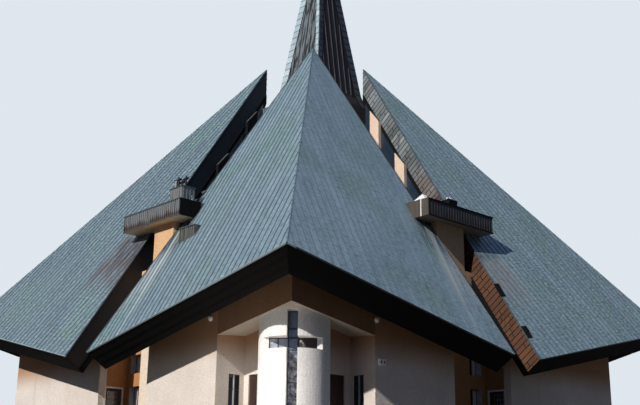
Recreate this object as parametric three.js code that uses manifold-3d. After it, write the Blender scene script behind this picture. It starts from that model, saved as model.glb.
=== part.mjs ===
// A church on a square plan that stands on its corner: four steep roof wings, a tall spire
// between them, and a porch with a round drum in the front corner. Millimetres, +Z up, the
// ground at z = 0, the spire's square over the origin and the porch towards -Y.
import * as THREE from 'three';
import { ConvexGeometry } from 'three/addons/geometries/ConvexGeometry.js';
import { mergeVertices } from 'three/addons/utils/BufferGeometryUtils.js';
import Module from 'manifold-3d';

const wasm = await Module();
wasm.setup();

// Driving dimensions.
const SEAT = 0.3;                 // gap left between pieces that rest on each other
const APEX_R = 2830;              // roof wing's peak, from the middle of the plan
const APEX_Z = 21630;
const CORNER_R = 19220;           // roof wing's outer corner
const CORNER_Z = 6120;
const END_OUT = 10630;            // lower end of an eave, out along the wing's axis
const END_SIDE = 9335;            // and to the side of that axis
const END_Z = 3340;
const ROOF_T = 1170;              // roof's depth, square to its plane

const HATCH = { left: [-5690, -9700], right: [-4850, -10520], top: 9230 };

const WALL_R = 15940;             // outer corner of two walls, from the middle of the plan
const WALL_TURN = THREE.MathUtils.degToRad(42.64);
const WALL_LEN = 9240;
const WALL_T = 385;
const SIDE_LEN = 1485;            // short walls that turn in at each end of a wing
const SIDE_T = 330;

// Pier in each gap, under its canopy. Above the shoulder it is open towards the side wing.
const PIER = { top: 10030, shoulder: 7950, gap: 12, outer: { right: 730, left: 340 } };
const CANOPY = { half: 2405, tall: 850, out: 10670, back: 8700 };
const CHIMNEY = { g0: 9550, g1: 10300, h0: 1000, h1: 2000, tall: 740 };
const VENT = { g0: 9720, g1: 10200, h0: -330, h1: 270, tall: 450 };
const FOOT_R = 3234;              // spire's square foot, corner to middle
const FOOT_TOP = 19020;
const GAP_ROOF = { inner: 3200, outer: 2000, thick: 200, clear: 4.3 };
const GAP_PIERS = {
  first: 3625, step: 2065, count: 3, long: 740, face: 260, back: 61, drops: [1657, 1388],
};
const GAP_GLASS = { inset: 20, thick: 40, drop: 1900 };

const PANE = { thick: 40, lap: 50, sideLap: 20 };

const DOOR_TALL = 2240;
const LEAF_T = 55;
const LEAF_GAP = 6;
const LEAF_SILL = 15;
const LEAF_SET = 60;              // leaf set back from the face of its wall
const BARREL = { tall: 110, at: [260, 1120, 1980] };

// A wing's own frame has its axis along -Y; the wall to its right starts at the outer corner.
const along = new THREE.Vector2(Math.cos(WALL_TURN), Math.sin(WALL_TURN));
const inward = new THREE.Vector2(-along.y, along.x);
const cornerAt = new THREE.Vector2(0, -WALL_R);

function onWall(t, n) {
  return new THREE.Vector2(
    cornerAt.x + t * along.x + n * inward.x,
    cornerAt.y + t * along.y + n * inward.y,
  );
}

// Roof planes of the wing's right half: the top plane and the parallel one below it.
const peak = new THREE.Vector3(0, -APEX_R, APEX_Z);
const tip = new THREE.Vector3(0, -CORNER_R, CORNER_Z);
const end = new THREE.Vector3(END_SIDE, -END_OUT, END_Z);
const roofNormal = new THREE.Vector3().subVectors(end, tip)
  .cross(new THREE.Vector3().subVectors(peak, tip)).normalize();
const eaveLine = new THREE.Vector3().subVectors(end, tip).normalize();
const roofDrop = ROOF_T / roofNormal.z;

function roofTop(x, y) {
  return tip.z - (roofNormal.x * (x - tip.x) + roofNormal.y * (y - tip.y)) / roofNormal.z;
}

function underRoof(x, y) {
  return roofTop(x, y) - roofDrop - SEAT / roofNormal.z;
}

function alongEave(from, normal2, offset) {
  const reach = (offset - normal2.x * from.x - normal2.y * from.y)
    / (normal2.x * eaveLine.x + normal2.y * eaveLine.y);
  return from.clone().addScaledVector(eaveLine, reach);
}

// Solids.
function toSolid(geometry) {
  const bare = geometry.clone();
  bare.deleteAttribute('normal');
  bare.deleteAttribute('uv');
  const merged = mergeVertices(bare, 1e-3);
  return new wasm.Manifold(new wasm.Mesh({
    numProp: 3,
    vertProperties: new Float32Array(merged.attributes.position.array),
    triVerts: new Uint32Array(merged.index.array),
  }));
}

function toGeometry(solid) {
  const mesh = solid.getMesh();
  const geometry = new THREE.BufferGeometry();
  geometry.setAttribute('position', new THREE.BufferAttribute(mesh.vertProperties, 3));
  geometry.setIndex(new THREE.BufferAttribute(mesh.triVerts, 1));
  geometry.computeVertexNormals();
  return geometry;
}

function join(geometries) {
  return geometries.map(toSolid).reduce((whole, part) => whole.add(part));
}

function cut(solid, geometries) {
  return geometries.map(toSolid).reduce((rest, part) => rest.subtract(part), solid);
}

function hull(points) {
  return new ConvexGeometry(points);
}

// A convex block over a plan outline; bottom and top are heights or functions of x and y.
function block(plan, bottom, top) {
  const height = (level, p) => (typeof level === 'function' ? level(p.x, p.y) : level);
  const points = [];
  for (const p of plan) {
    points.push(new THREE.Vector3(p.x, p.y, height(bottom, p)));
    points.push(new THREE.Vector3(p.x, p.y, height(top, p)));
  }
  return hull(points);
}

function wallPlan(t0, t1, n0, n1) {
  return [onWall(t0, n0), onWall(t1, n0), onWall(t1, n1), onWall(t0, n1)];
}

function mirrorX(geometry) {
  const copy = geometry.clone();
  copy.scale(-1, 1, 1);
  const flipped = copy.index ? copy.toNonIndexed() : copy;
  const position = flipped.attributes.position;
  for (let i = 0; i < position.count; i += 3) {
    const a = new THREE.Vector3().fromBufferAttribute(position, i);
    const b = new THREE.Vector3().fromBufferAttribute(position, i + 1);
    position.setXYZ(i, b.x, b.y, b.z);
    position.setXYZ(i + 1, a.x, a.y, a.z);
  }
  flipped.computeVertexNormals();
  return flipped;
}

const finishes = {
  copper: { color: 0x6f8a88, roughness: 0.6, metalness: 0.4 },
  darkMetal: { color: 0x2b2a2b, roughness: 0.5, metalness: 0.5 },
  render: { color: 0xd9cdb8, roughness: 0.95, metalness: 0 },
  white: { color: 0xeeeeea, roughness: 0.9, metalness: 0 },
  glass: { color: 0x35475c, roughness: 0.1, metalness: 0 },
  wood: { color: 0x4a3024, roughness: 0.7, metalness: 0 },
  stone: { color: 0x8d8a84, roughness: 0.9, metalness: 0 },
  steel: { color: 0x9a9a98, roughness: 0.4, metalness: 0.8 },
};

function mesh(name, geometry, finish) {
  const shape = geometry instanceof THREE.BufferGeometry ? geometry : toGeometry(geometry);
  const piece = new THREE.Mesh(shape, new THREE.MeshStandardMaterial(finishes[finish]));
  piece.name = name;
  return piece;
}

// Roof of a wing: two deep planes that meet on the hip; the eaves are cut square to them.
function roofHalf() {
  const vergeNormal = new THREE.Vector2(end.y - peak.y, peak.x - end.x);
  const vergeOffset = vergeNormal.x * end.x + vergeNormal.y * end.y;
  const sunk = (point) => point.clone().addScaledVector(roofNormal, -ROOF_T);
  const lowTip = alongEave(sunk(tip), new THREE.Vector2(1, 0), 0);
  const lowEnd = alongEave(sunk(end), vergeNormal, vergeOffset);
  const lowPeak = peak.clone().setZ(peak.z - roofDrop);
  return hull([peak, tip, end, lowPeak, lowTip, lowEnd]);
}

function wingRoof() {
  const half = roofHalf();
  return join([half, mirrorX(half)]);
}

// Small hatch near the left verge of the front roof; its level top runs back to the roof.
function roofHatch() {
  const { left, right, top } = HATCH;
  const inwards = new THREE.Vector2(left[1] - right[1], right[0] - left[0]).normalize();
  const foot = (p) => roofTop(-p.x, p.y) + SEAT / roofNormal.z;
  const points = [left, right].flatMap(([x, y]) => {
    const front = new THREE.Vector2(x, y);
    const rise = foot(front.clone().add(inwards)) - foot(front);
    const back = front.clone().addScaledVector(inwards, (top - foot(front)) / rise);
    return [[front, foot(front)], [front, top], [back, top]];
  });
  return hull(points.map(([p, z]) => new THREE.Vector3(p.x, p.y, z)));
}

// Right-hand wall of a wing, mitred on the axis where it starts at the corner.
function wingWall(start) {
  const plan = wallPlan(start, WALL_LEN, 0, WALL_T);
  if (start === 0) {
    const inner = WALL_T / Math.cos(WALL_TURN);
    plan[0] = new THREE.Vector2(SEAT / 2, -WALL_R);
    plan[3] = new THREE.Vector2(SEAT / 2, -WALL_R + inner);
  }
  return block(plan, 0, underRoof);
}

// The recess between two wings, in the frame of the wing on its left: g runs out along the
// gap, h across it towards the next wing.
const GAP_OUT = new THREE.Vector2(Math.SQRT1_2, -Math.SQRT1_2);
const GAP_ACROSS = new THREE.Vector2(Math.SQRT1_2, Math.SQRT1_2);

function inGap(g, h) {
  return new THREE.Vector2(
    g * GAP_OUT.x + h * GAP_ACROSS.x,
    g * GAP_OUT.y + h * GAP_ACROSS.y,
  );
}

function gapCoords(p) {
  return new THREE.Vector2(p.dot(GAP_OUT), p.dot(GAP_ACROSS));
}

const backOf = gapCoords(onWall(WALL_LEN, SIDE_LEN));
const GAP_FACE = backOf.x;
const GAP_HALF = -backOf.y;
const GAP_INNER = FOOT_R / Math.SQRT2 + SEAT;
const GAP_OUTER = GAP_FACE - SIDE_T - SEAT;

function gapHalfWidth(g) {
  const top = gapCoords(new THREE.Vector2(0, -APEX_R));
  const low = gapCoords(new THREE.Vector2(END_SIDE, -END_OUT));
  return -(top.y + (low.y - top.y) * (g - top.x) / (low.x - top.x));
}

function vergeHeight(g) {
  const top = gapCoords(new THREE.Vector2(0, -APEX_R));
  const low = gapCoords(new THREE.Vector2(END_SIDE, -END_OUT));
  return APEX_Z + (END_Z - APEX_Z) * (g - top.x) / (low.x - top.x);
}

function mirrorGap(geometry) {
  const turned = geometry.clone().rotateZ(-Math.PI / 4);
  return mirrorX(turned).rotateZ(Math.PI / 4);
}

// Where the faces lying a depth behind a wing's short wall and the gap's wall meet.
function recessCorner(depth) {
  const start = onWall(WALL_LEN - depth, 0);
  const n = (GAP_FACE - depth - start.dot(GAP_OUT)) / inward.dot(GAP_OUT);
  return onWall(WALL_LEN - depth, n);
}

const GAP_WINDOWS = [
  { h0: 880, h1: 1700, z0: 2960, z1: 3850 },
  { h0: 880, h1: 1700, z0: 900, z1: 2340 },
];
const GAP_DOOR = { n0: 400, n1: 1240 };

function gapBox(g0, g1, h0, h1, z0, z1) {
  return block([inGap(g0, h0), inGap(g1, h0), inGap(g1, h1), inGap(g0, h1)], z0, z1);
}

function gapWall(windowSide, doorSide, pierOuter) {
  const inner = GAP_FACE - SIDE_T;
  const turn = [
    onWall(WALL_LEN - SIDE_T, WALL_T + SEAT), onWall(WALL_LEN, WALL_T + SEAT),
    onWall(WALL_LEN, SIDE_LEN), recessCorner(SIDE_T),
  ];
  const side = block(turn, 0, underRoof);
  const wide = block([
    recessCorner(SIDE_T),
    inGap(GAP_FACE, -GAP_HALF),
    inGap(GAP_FACE, -gapHalfWidth(GAP_FACE) + PIER.gap),
    inGap(inner, -gapHalfWidth(inner) + PIER.gap),
  ], 0, underRoof);
  const parts = [side, wide, mirrorGap(side), mirrorGap(wide)];
  const halfOut = gapHalfWidth(GAP_FACE) - PIER.gap;
  const halfIn = gapHalfWidth(inner) - PIER.gap;
  parts.push(block([
    inGap(inner, -halfIn), inGap(GAP_FACE, -halfOut), inGap(GAP_FACE, halfOut), inGap(inner, halfIn),
  ], 0, PIER.top - SEAT));
  const besidePier = { h0: pierOuter, h1: GAP_HALF, z0: PIER.shoulder, z1: PIER.top + 50 };
  const holes = [...GAP_WINDOWS, besidePier].map(({ h0, h1, z0, z1 }) => {
    const [a, b] = windowSide > 0 ? [h0, h1] : [-h1, -h0];
    return gapBox(inner - 50, GAP_FACE + 50, a, b, z0, z1);
  });
  if (doorSide !== 0) {
    const plan = wallPlan(WALL_LEN - SIDE_T - 50, WALL_LEN + 50, GAP_DOOR.n0, GAP_DOOR.n1);
    const door = block(plan, -50, DOOR_TALL);
    holes.push(doorSide > 0 ? mirrorGap(door) : door);
  }
  return cut(join(parts), holes);
}

// One sheet of glass behind both windows of a gap's wall.
function gapPane(windowSide) {
  const inner = GAP_FACE - SIDE_T - SEAT;
  const [upper, lower] = GAP_WINDOWS;
  const near = upper.h0 - PANE.lap;
  const far = upper.h1 + PANE.sideLap;
  const [h0, h1] = windowSide > 0 ? [near, far] : [-far, -near];
  return gapBox(inner - PANE.thick, inner, h0, h1, lower.z0 - PANE.lap, upper.z1 + PANE.lap);
}

// Roof halves on both sides of a gap, each with the seat's clearance round it.
function roofsBesideGap() {
  const up = SEAT / roofNormal.z;
  const near = [[0, up], [SEAT, 0], [SEAT, up]].map(([out, rise]) => (
    roofHalf().translate(out, out, rise)
  ));
  return [...near, ...near.map(mirrorGap)];
}

// Flat-topped box across each pier; it runs back until it dies into the roofs on both sides.
function canopy() {
  const { half, tall, out, back } = CANOPY;
  const box = gapBox(back, out, -half, half, PIER.top, PIER.top + tall);
  return cut(toSolid(box), roofsBesideGap());
}

// A box that stands on a canopy.
function onCanopy({ g0, g1, h0, h1, tall }) {
  const top = PIER.top + CANOPY.tall;
  return gapBox(g0, g1, h0, h1, top + SEAT, top + tall);
}

// A convex piece in the gap. Each of its ends has a g, the h of its two sides, and the depths
// of its top and bottom below the verges.
function belowVerges(ends) {
  return hull(ends.flatMap(({ g, sides, depths }) => (
    sides.flatMap((h) => depths.map((depth) => {
      const p = inGap(g, h);
      return new THREE.Vector3(p.x, p.y, vergeHeight(g) - depth);
    }))
  )));
}

// How deep the gap's own roof lies below the verges.
function gapRoofDrop(g) {
  const share = (g - GAP_INNER) / (GAP_OUTER - GAP_INNER);
  return GAP_ROOF.inner + share * (GAP_ROOF.outer - GAP_ROOF.inner);
}

// Sunk roof between two wings, with the piers that stand on it along both verges.
function gapRoof() {
  const slab = belowVerges([GAP_INNER, GAP_OUTER].map((g) => {
    const half = gapHalfWidth(g) - GAP_ROOF.clear;
    const top = gapRoofDrop(g);
    return { g, sides: [-half, half], depths: [top, top + GAP_ROOF.thick] };
  }));
  const { first, step, count, long, face, back, drops } = GAP_PIERS;
  const piers = Array.from({ length: count }, (_, k) => {
    const outer = first + k * step;
    return belowVerges([outer - long, outer].map((g, i) => ({
      g,
      sides: [back, face].map((h) => h - gapHalfWidth(g)),
      depths: [drops[i], gapRoofDrop(g) + GAP_ROOF.thick / 2],
    })));
  });
  return join([slab, ...piers, ...piers.map(mirrorGap)]);
}

// Glazing behind the piers: one sheet along each verge, joined by the low sill at the end.
function gapGlazing() {
  const { inset, thick, drop } = GAP_GLASS;
  const foot = (g) => gapRoofDrop(g) - SEAT * 2;
  const outer = GAP_OUTER - SEAT;
  const sheet = belowVerges([GAP_INNER, outer].map((g) => ({
    g,
    sides: [inset, inset + thick].map((h) => h - gapHalfWidth(g)),
    depths: [drop, foot(g)],
  })));
  const sill = belowVerges([outer - thick, outer - 1].map((g) => {
    const half = gapHalfWidth(g) - inset - thick / 2;
    return { g, sides: [-half, half], depths: [drop + 10, foot(g) - 1] };
  }));
  return join([sheet, mirrorGap(sheet), sill]);
}

// Spire on its square foot.
const SPIRE = [[2800, FOOT_TOP + SEAT], [2430, 19650], [1145, 26180], [70, 32200]];
const SPIRE_X = 300;
const SPIRE_T = 230;

function squareRing(profile) {
  const points = profile.map(([r, z]) => new THREE.Vector2(r, z));
  const ring = new THREE.LatheGeometry(points, 4);
  ring.rotateX(Math.PI / 2);
  return ring;
}

function spireFoot() {
  const inner = FOOT_R - 900;
  const low = FOOT_TOP - 1500;
  return squareRing([
    [inner, low], [FOOT_R, low], [FOOT_R, FOOT_TOP], [inner, FOOT_TOP], [inner, low],
  ]);
}

function spireShell() {
  const inside = [[0, 31000], [1145 - SPIRE_T, 26100], [2430 - SPIRE_T * 1.4, 19650],
    [2800 - SPIRE_T * 1.4, FOOT_TOP + SEAT]];
  return squareRing([...SPIRE, [0, 32200], ...inside, SPIRE[0]]);
}

function finial() {
  const post = new THREE.BoxGeometry(90, 90, 1900);
  post.translate(0, 0, 32200 + SEAT + 950);
  const arm = new THREE.BoxGeometry(900, 88, 90);
  arm.translate(0, 0, 32200 + 1350);
  return join([post, arm]);
}

// Porch in the front corner.
const NOTCH_T = 4444;
const NOTCH_N = 1540;
const PORCH_T = 330;
const CEILING = { corner: 4640, side: 3785, inner: 3905, thick: 200 };
const DRUM = { y: -13860, r: 1452, bore: 660 };
const CROSS = { half: 215, arm: 957, z0: 330, z1: 4450, armZ0: 2915, armZ1: 3382, face: -14707 };
const PORCH_DOOR = { t0: NOTCH_T - 1230, t1: NOTCH_T - 295 };
const PORCH_WINDOW = { n0: 700, n1: 1280, z0: 300, z1: 2230 };

function ceilingHeight(x, y) {
  const p = new THREE.Vector2(Math.abs(x), y).sub(cornerAt);
  const t = p.dot(along);
  const n = p.dot(inward);
  const fall = (CEILING.side - CEILING.corner) / NOTCH_T;
  const rise = (CEILING.inner - CEILING.side) / NOTCH_N;
  return CEILING.corner + fall * t + rise * n;
}

function lintel() {
  const plan = wallPlan(0, NOTCH_T - SEAT, 0, WALL_T);
  plan[0] = new THREE.Vector2(SEAT / 2, -WALL_R);
  plan[3] = new THREE.Vector2(SEAT / 2, -WALL_R + WALL_T / Math.cos(WALL_TURN));
  return block(plan, ceilingHeight, underRoof);
}

// Plan of the right half of the porch between two depths behind the face of the walls.
function porchPlan(t, n0, n1) {
  const axis = (n) => new THREE.Vector2(0, -WALL_R + n / Math.cos(WALL_TURN));
  return [axis(n0), onWall(t, n0), onWall(t, n1), axis(n1)];
}

function ceiling() {
  const plan = porchPlan(NOTCH_T - SEAT, WALL_T + SEAT, NOTCH_N - SEAT);
  const half = block(plan, ceilingHeight, (x, y) => ceilingHeight(x, y) + CEILING.thick);
  return join([half, mirrorX(half)]);
}

function porchWall() {
  const side = block(wallPlan(NOTCH_T, NOTCH_T + PORCH_T, WALL_T + SEAT, NOTCH_N + PORCH_T),
    0, 4500);
  const back = block(wallPlan(1700, NOTCH_T + PORCH_T, NOTCH_N, NOTCH_N + PORCH_T), 0, 4500);
  const door = block(wallPlan(PORCH_DOOR.t0, PORCH_DOOR.t1, NOTCH_N - 50, NOTCH_N + PORCH_T + 50),
    -50, DOOR_TALL);
  const pane = block(wallPlan(NOTCH_T - 50, NOTCH_T + PORCH_T + 50,
    PORCH_WINDOW.n0, PORCH_WINDOW.n1), PORCH_WINDOW.z0, PORCH_WINDOW.z1);
  const drum = new THREE.CylinderGeometry(DRUM.r + SEAT, DRUM.r + SEAT, 9000, 64);
  drum.rotateX(Math.PI / 2).translate(0, DRUM.y, 0);
  return toGeometry(cut(join([side, back]), [door, pane, drum]));
}

function porchPane() {
  const t = NOTCH_T + PORCH_T + SEAT;
  return block(wallPlan(t, t + 40, PORCH_WINDOW.n0 - 50, PORCH_WINDOW.n1 + 50),
    PORCH_WINDOW.z0 - 50, PORCH_WINDOW.z1 + 50);
}

function crossShape(grow) {
  const { half, arm, z0, z1, armZ0, armZ1 } = CROSS;
  const outline = [
    [-half, z0], [half, z0], [half, armZ0], [arm, armZ0], [arm, armZ1], [half, armZ1],
    [half, z1], [-half, z1], [-half, armZ1], [-arm, armZ1], [-arm, armZ0], [-half, armZ0],
  ].map(([x, z]) => {
    const up = z === z1 || z === armZ1;
    return new THREE.Vector2(x + Math.sign(x) * grow, z + (up ? grow : -grow));
  });
  return new THREE.Shape(outline);
}

function crossPlate(grow, depth) {
  const plate = new THREE.ExtrudeGeometry(crossShape(grow), { depth, bevelEnabled: false });
  return plate.rotateX(Math.PI / 2);
}

function drum() {
  const top = 4800;
  const shell = new THREE.LatheGeometry([
    [DRUM.bore, 0], [DRUM.r, 0], [DRUM.r, top], [DRUM.bore, top], [DRUM.bore, 0],
  ].map(([r, z]) => new THREE.Vector2(r, z)), 64);
  shell.rotateX(Math.PI / 2).translate(0, DRUM.y, 0);
  const niche = new THREE.BoxGeometry(3200, 1600, CROSS.armZ1 - CROSS.armZ0);
  niche.translate(0, CROSS.face - 800, (CROSS.armZ0 + CROSS.armZ1) / 2);
  const slot = new THREE.BoxGeometry(2 * CROSS.half, 1600, CROSS.z1 - CROSS.z0);
  slot.translate(0, DRUM.y - 1000, (CROSS.z0 + CROSS.z1) / 2);
  const pocket = crossPlate(0, 130).translate(0, CROSS.face + 130, 0);
  const through = new THREE.BoxGeometry(1040, 900, CROSS.armZ1 - CROSS.armZ0 - 60);
  through.translate(0, DRUM.y - 500, (CROSS.armZ0 + CROSS.armZ1) / 2);
  const half = block(porchPlan(NOTCH_T, -500, 3600), (x, y) => ceilingHeight(x, y) - SEAT, 9000);
  return cut(toSolid(shell), [niche, slot, pocket, through, half, mirrorX(half)]);
}

function crossWindow() {
  return crossPlate(-SEAT, 90).translate(0, CROSS.face + 130 - SEAT, 0);
}

// Floor slab inside the walls.
function floorSlab() {
  const quarter = (front) => {
    const wingInner = new THREE.Vector2(0, -WALL_R + (WALL_T + SEAT) / Math.cos(WALL_TURN));
    const right = [
      onWall(WALL_LEN - SIDE_T - SEAT, WALL_T + SEAT),
      recessCorner(SIDE_T + SEAT),
    ];
    const porch = [
      new THREE.Vector2(0, -WALL_R + (NOTCH_N + PORCH_T + SEAT) / Math.cos(WALL_TURN)),
      onWall(NOTCH_T + PORCH_T + SEAT, NOTCH_N + PORCH_T + SEAT),
      onWall(NOTCH_T + PORCH_T + SEAT, WALL_T + SEAT),
    ];
    const rightHalf = front ? [...porch, ...right] : [wingInner, ...right];
    const leftHalf = rightHalf.slice(1).reverse().map((p) => new THREE.Vector2(-p.x, p.y));
    return [...leftHalf, ...rightHalf];
  };
  const outline = [];
  for (let k = 0; k < 4; k += 1) {
    for (const p of quarter(k === 0)) {
      outline.push(p.clone().rotateAround(new THREE.Vector2(), k * Math.PI / 2));
    }
  }
  const slab = new THREE.ExtrudeGeometry(new THREE.Shape(outline),
    { depth: 120, bevelEnabled: false });
  const hole = new THREE.CylinderGeometry(DRUM.r + SEAT, DRUM.r + SEAT, 900, 64);
  hole.rotateX(Math.PI / 2).translate(0, DRUM.y, 0);
  return cut(toSolid(slab), [hole]);
}

// Hinge barrels on the axis, round so that they keep their seat at the jamb as the leaf turns.
function hingeBarrels() {
  const radius = LEAF_GAP - SEAT;
  return BARREL.at.map((z) => {
    const barrel = new THREE.CylinderGeometry(radius, radius, BARREL.tall, 16);
    return barrel.rotateX(Math.PI / 2).translate(0, 0, z);
  });
}

// A door leaf hangs from its outer edge at the origin and reaches along +X; side is +1 where
// its depth lies towards +Y and -1 where it lies towards -Y.
function leaf(name, width, side, hinge, reach, finish) {
  const slab = new THREE.BoxGeometry(width, LEAF_T, DOOR_TALL - LEAF_GAP - LEAF_SILL);
  slab.translate(width / 2, side * LEAF_T / 2, (DOOR_TALL - LEAF_GAP + LEAF_SILL) / 2);
  const door = mesh(name, join([slab, ...hingeBarrels()]), finish);
  door.position.set(hinge.x, hinge.y, 0);
  door.rotation.z = reach.angle();
  return door;
}

function porchDoors() {
  const width = PORCH_DOOR.t1 - PORCH_DOOR.t0 - 2 * LEAF_GAP;
  const hinge = onWall(PORCH_DOOR.t1 - LEAF_GAP, NOTCH_N + LEAF_SET);
  const reach = along.clone().negate();
  const flip = (p) => new THREE.Vector2(-p.x, p.y);
  return [
    leaf('porch_door_right', width, -1, hinge, reach, 'wood'),
    leaf('porch_door_left', width, 1, flip(hinge), flip(reach), 'wood'),
  ];
}

function gapDoor(name, side) {
  const width = GAP_DOOR.n1 - GAP_DOOR.n0 - 2 * LEAF_GAP;
  const hinge = onWall(WALL_LEN - LEAF_SET, GAP_DOOR.n1 - LEAF_GAP);
  const reach = inward.clone().negate();
  const flip = (p) => new THREE.Vector2(-p.y, -p.x);
  return side > 0
    ? leaf(name, width, 1, flip(hinge), flip(reach), 'wood')
    : leaf(name, width, -1, hinge, reach, 'wood');
}

const church = new THREE.Group();
const WINGS = ['front', 'right', 'back', 'left'];
const GAPS = ['front_right', 'back_right', 'back_left', 'front_left'];

WINGS.forEach((name, k) => {
  const wing = new THREE.Group();
  wing.rotation.z = k * Math.PI / 2;
  const wall = wingWall(k === 0 ? NOTCH_T : 0);
  wing.add(
    mesh(`${name}_wing_roof`, wingRoof(), 'copper'),
    mesh(`${name}_wing_wall_right`, wall, 'render'),
    mesh(`${name}_wing_wall_left`, mirrorX(wall), 'render'),
  );
  church.add(wing);
});

GAPS.forEach((name, k) => {
  const gap = new THREE.Group();
  gap.rotation.z = k * Math.PI / 2;
  const windowSide = k % 2 === 0 ? 1 : -1;
  const doorSide = { 0: 1, 3: -1 }[k] ?? 0;
  const pierOuter = k < 2 ? PIER.outer.right : PIER.outer.left;
  gap.add(
    mesh(`${name}_gap_wall`, gapWall(windowSide, doorSide, pierOuter), 'render'),
    mesh(`${name}_gap_window`, gapPane(windowSide), 'glass'),
    mesh(`${name}_gap_roof`, gapRoof(), 'render'),
    mesh(`${name}_gap_glazing`, gapGlazing(), 'glass'),
    mesh(`${name}_canopy`, canopy(), 'darkMetal'),
  );
  if (doorSide !== 0) {
    gap.add(gapDoor(`${name}_side_door`, doorSide));
  }
  if (name === 'front_left') {
    gap.add(mesh('chimney', onCanopy(CHIMNEY), 'copper'));
  }
  if (name === 'front_right') {
    gap.add(mesh('canopy_vent', onCanopy(VENT), 'darkMetal'));
  }
  church.add(gap);
});

const spire = new THREE.Group();
spire.add(mesh('spire_foot', toSolid(spireFoot()), 'render'));
const shell = mesh('spire', toSolid(spireShell()), 'darkMetal');
shell.position.x = SPIRE_X;
const cross = mesh('spire_cross', finial(), 'steel');
cross.position.x = SPIRE_X;
spire.add(shell, cross);
church.add(spire);

const porchRight = porchWall();
church.add(
  ...porchDoors(),
  mesh('roof_hatch', roofHatch(), 'darkMetal'),
  mesh('porch_wall_right', porchRight, 'render'),
  mesh('porch_wall_left', mirrorX(porchRight), 'render'),
  mesh('porch_window_right', porchPane(), 'glass'),
  mesh('porch_window_left', mirrorX(porchPane()), 'glass'),
  mesh('porch_lintel_right', lintel(), 'render'),
  mesh('porch_lintel_left', mirrorX(lintel()), 'render'),
  mesh('porch_ceiling', ceiling(), 'white'),
  mesh('porch_drum', drum(), 'white'),
  mesh('cross_window', toSolid(crossWindow()), 'glass'),
  mesh('floor_slab', floorSlab(), 'stone'),
);

export default church;
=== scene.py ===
"""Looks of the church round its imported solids. Metres, +Z up, porch corner towards -Y."""

import math
import random

import bpy
from mathutils import Matrix, Vector


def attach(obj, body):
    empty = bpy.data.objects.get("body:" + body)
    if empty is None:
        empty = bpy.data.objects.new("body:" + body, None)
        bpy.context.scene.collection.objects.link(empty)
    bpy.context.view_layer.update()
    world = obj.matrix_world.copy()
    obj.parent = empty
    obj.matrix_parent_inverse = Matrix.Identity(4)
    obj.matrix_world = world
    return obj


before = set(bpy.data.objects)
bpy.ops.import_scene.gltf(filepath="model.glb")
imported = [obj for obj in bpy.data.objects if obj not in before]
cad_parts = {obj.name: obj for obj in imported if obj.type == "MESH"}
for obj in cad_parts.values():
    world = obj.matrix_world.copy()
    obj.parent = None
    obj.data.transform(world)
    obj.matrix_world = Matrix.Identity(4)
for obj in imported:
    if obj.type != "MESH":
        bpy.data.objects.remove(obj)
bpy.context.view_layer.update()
random.seed(7)
SCENE = bpy.context.scene

WINGS = ["front", "right", "back", "left"]
GAPS = ["front_right", "back_right", "back_left", "front_left"]
SIDES = ["right", "left"]
UP = Vector((0, 0, 1))

# The roof's right half in a wing's own frame, whose axis lies along -Y, and its sheets.
APEX = Vector((0, -2.83, 21.63))
TIP = Vector((0, -19.22, 6.12))
END = Vector((9.335, -10.63, 3.34))
ROOF_T = 1.17
EAVE = (END - TIP).normalized()
EAVE_LEN = (END - TIP).length
NORMAL = EAVE.cross(APEX - TIP).normalized()
UPHILL = NORMAL.cross(EAVE)
PEAK_E = (APEX - TIP).dot(EAVE)
PEAK_S = (APEX - TIP).dot(UPHILL)
PAN = 0.39
SHEET_LEN = 3.1
SHEET_LIFT = 0.009
SHEET_FALL = 0.006
EAVE_MITRE = 0.9

# The verge beside a gap: along it and square to it, in its own upright plane.
VERGE = (END - APEX).normalized()
VERGE_LEN = (END - APEX).length
VERGE_OUT = Vector((END.y - APEX.y, APEX.x - END.x, 0)).normalized() * -1
VERGE_IN = VERGE.cross(VERGE_OUT)
if VERGE_IN.z > 0:
    VERGE_IN.negate()
VERGE_FACE = 0.875
VERGE_STEP = 0.27
PEAK_SLANT = 1.51

WALL_TURN = math.radians(42.64)
ALONG = Vector((math.cos(WALL_TURN), math.sin(WALL_TURN), 0))
INWARD = Vector((-ALONG.y, ALONG.x, 0))
WALL_LEN = 9.24
CORNER = Vector((0, -15.94, 0))
GAP_OUT = Vector((1, -1, 0)).normalized()
GAP_ACROSS = Vector((1, 1, 0)).normalized()
GAP_FACE = 10.168
CANOPY = {"half": 2.405, "low": 10.03, "high": 10.88, "out": 10.67}

# Where the spire's axis stands, and how far its corners lie from there at each height.
SPIRE_X = 0.3
SPIRE = [(2.8, 19.0203), (2.43, 19.65), (1.145, 26.18), (0.07, 32.2)]
SPIRE_KNEE = SPIRE[2][1]

# Turns and mirrorings that carry the front right gap to each gap.
GAP_PLACES = {
    "front_right": (0, False), "back_right": (2, True), "back_left": (2, False), "front_left": (0, True),
}


# Places.
def placed(p, turn, mirror):
    """A point of the wing's right half, or of its left half, turned to wing number turn."""
    q = Vector((-p.x if mirror else p.x, p.y, p.z))
    return Matrix.Rotation(turn * math.pi / 2, 4, "Z") @ q


def carried(p):
    """A flat vector of the front wing's right end, carried to the side wing in the same gap."""
    return Vector((-p.y, -p.x, 0))


class Axes:
    """A place to start from and three directions, in which places and sizes are given."""

    def __init__(self, origin, *ways):
        self.origin, self.ways = Vector(origin), [Vector(way) for way in ways]

    def at(self, *steps):
        return sum((way * step for way, step in zip(self.ways, steps)), self.origin)

    def box(self, build, place, size, material=0):
        build.block(self.at(*place), *(way * edge for way, edge in zip(self.ways, size)), material)

    def tube(self, build, place, reach, radius, material=0, **shape):
        end = [p + r for p, r in zip(place, reach)]
        build.tube(self.at(*place), self.at(*end), radius, material, **shape)


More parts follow.
